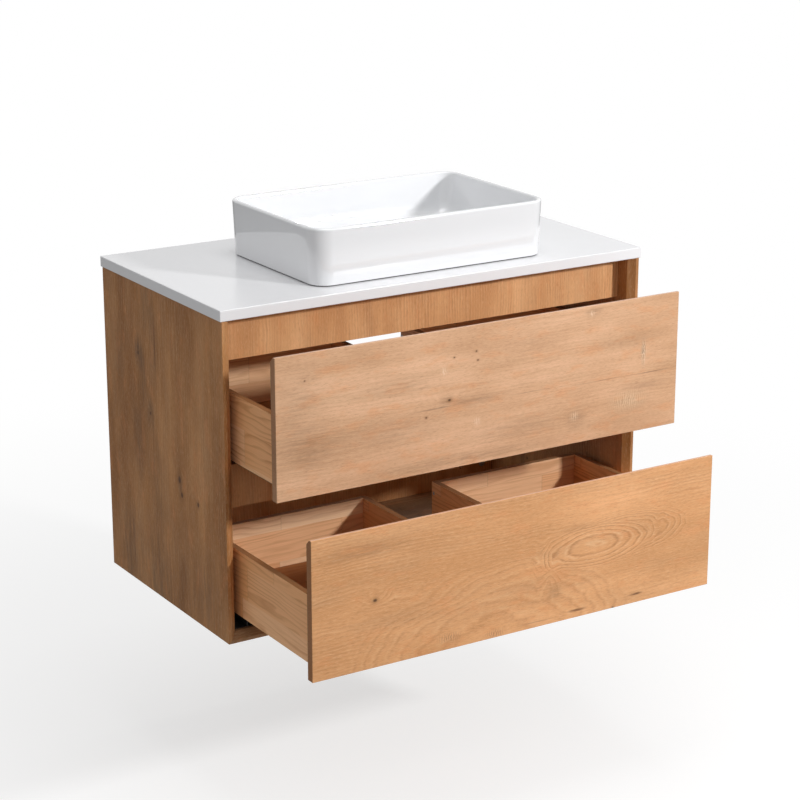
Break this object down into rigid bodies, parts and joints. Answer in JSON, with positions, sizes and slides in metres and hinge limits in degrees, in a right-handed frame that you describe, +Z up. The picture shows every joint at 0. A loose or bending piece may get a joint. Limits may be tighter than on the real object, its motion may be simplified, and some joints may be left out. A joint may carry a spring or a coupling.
{
  "type": "floating vanity",
  "caption": "Wall-hung oak vanity cabinet with drawers on hidden runners, finger gaps above the drawer fronts, a white top and a rectangular counter-top basin.",
  "frame": {"origin": "midway between the two upper wall-fixing holes, on the wall plane", "axes": "+X to the right across the front, +Y into the wall, +Z up"},
  "size_m": [0.9, 0.74, 0.7178],
  "materials": {
    "oak": "matt oak laminate with visible grain and knots",
    "drawer_wood": "satin lacquered softwood",
    "white_top": "satin white solid surface",
    "glazed_white": "glossy white glaze",
    "sealant": "cured bedding sealant",
    "black_steel": "black coated steel",
    "zinc_steel": "zinc-plated steel",
    "black_plastic": "moulded black plastic"
  },
  "bodies": {
    "cabinet": {"left_side_panel": "oak", "right_side_panel": "oak", "bottom_panel": "oak", "top_front_rail": "oak", "middle_front_rail": "oak", "upper_fixing_rail": "oak", "lower_fixing_rail": "oak", "countertop": "white_top", "basin": "glazed_white", "basin_seal": "sealant", "dowels": "drawer_wood", "cam_locks": "zinc_steel", "cam_bolts": "zinc_steel", "countertop_brackets": "zinc_steel", "bracket_screws": "zinc_steel", "upper_left_runner": "black_steel", "upper_right_runner": "black_steel", "lower_left_runner": "black_steel", "lower_right_runner": "black_steel", "runner_screws": "zinc_steel"},
    "upper_runner_middles": {"upper_left_middle_member": "black_steel", "upper_right_middle_member": "black_steel"},
    "lower_runner_middles": {"lower_left_middle_member": "black_steel", "lower_right_middle_member": "black_steel"},
    "upper_drawer": {"upper_drawer_front": "oak", "upper_drawer_left_side": "drawer_wood", "upper_drawer_right_side": "drawer_wood", "upper_drawer_left_back": "drawer_wood", "upper_drawer_right_back": "drawer_wood", "upper_drawer_left_cutout_wall": "drawer_wood", "upper_drawer_right_cutout_wall": "drawer_wood", "upper_drawer_cutout_front": "drawer_wood", "upper_drawer_bottom": "drawer_wood", "upper_drawer_dowels": "drawer_wood", "upper_drawer_screws": "zinc_steel", "upper_left_drawer_member": "black_steel", "upper_right_drawer_member": "black_steel", "upper_left_catch": "black_plastic", "upper_right_catch": "black_plastic"},
    "upper_left_lever": {"upper_left_lever": "black_plastic"},
    "upper_right_lever": {"upper_right_lever": "black_plastic"},
    "lower_drawer": {"lower_drawer_front": "oak", "lower_drawer_left_side": "drawer_wood", "lower_drawer_right_side": "drawer_wood", "lower_drawer_left_back": "drawer_wood", "lower_drawer_right_back": "drawer_wood", "lower_drawer_left_cutout_wall": "drawer_wood", "lower_drawer_right_cutout_wall": "drawer_wood", "lower_drawer_cutout_front": "drawer_wood", "lower_drawer_bottom": "drawer_wood", "lower_drawer_dowels": "drawer_wood", "lower_drawer_screws": "zinc_steel", "lower_left_drawer_member": "black_steel", "lower_right_drawer_member": "black_steel", "lower_left_catch": "black_plastic", "lower_right_catch": "black_plastic"},
    "lower_left_lever": {"lower_left_lever": "black_plastic"},
    "lower_right_lever": {"lower_right_lever": "black_plastic"}
  },
  "joints": [
    {"name": "upper_drawer_slide", "type": "slide", "parent": "cabinet", "child": "upper_drawer", "axis": [0, -1, 0], "range_m": [-0.148, 0.202]},
    {"name": "upper_middles_slide", "type": "slide", "parent": "cabinet", "child": "upper_runner_middles", "axis": [0, -1, 0], "range_m": [-0.074, 0.101]},
    {"name": "lower_drawer_slide", "type": "slide", "parent": "cabinet", "child": "lower_drawer", "axis": [0, -1, 0], "range_m": [-0.262, 0.088]},
    {"name": "lower_middles_slide", "type": "slide", "parent": "cabinet", "child": "lower_runner_middles", "axis": [0, -1, 0], "range_m": [-0.131, 0.044]},
    {"name": "upper_left_lever_press", "type": "hinge", "parent": "upper_drawer", "child": "upper_left_lever", "pos_m": [-0.367, -0.568, -0.2135], "axis": [0, 0, -1], "range_deg": [0, 12], "stiffness_Nm_per_rad": 0.13, "springref_deg": -5.73},
    {"name": "upper_right_lever_press", "type": "hinge", "parent": "upper_drawer", "child": "upper_right_lever", "pos_m": [0.367, -0.568, -0.2135], "axis": [0, 0, 1], "range_deg": [0, 12], "stiffness_Nm_per_rad": 0.13, "springref_deg": -5.73},
    {"name": "lower_left_lever_press", "type": "hinge", "parent": "lower_drawer", "child": "lower_left_lever", "pos_m": [-0.367, -0.682, -0.4995], "axis": [0, 0, -1], "range_deg": [0, 12], "stiffness_Nm_per_rad": 0.13, "springref_deg": -5.73},
    {"name": "lower_right_lever_press", "type": "hinge", "parent": "lower_drawer", "child": "lower_right_lever", "pos_m": [0.367, -0.682, -0.4995], "axis": [0, 0, 1], "range_deg": [0, 12], "stiffness_Nm_per_rad": 0.13, "springref_deg": -5.73}
  ],
  "couplings": [
    {"joint": "upper_middles_slide", "follows": "upper_drawer_slide", "ratio": 0.5},
    {"joint": "lower_middles_slide", "follows": "lower_drawer_slide", "ratio": 0.5}
  ]
}
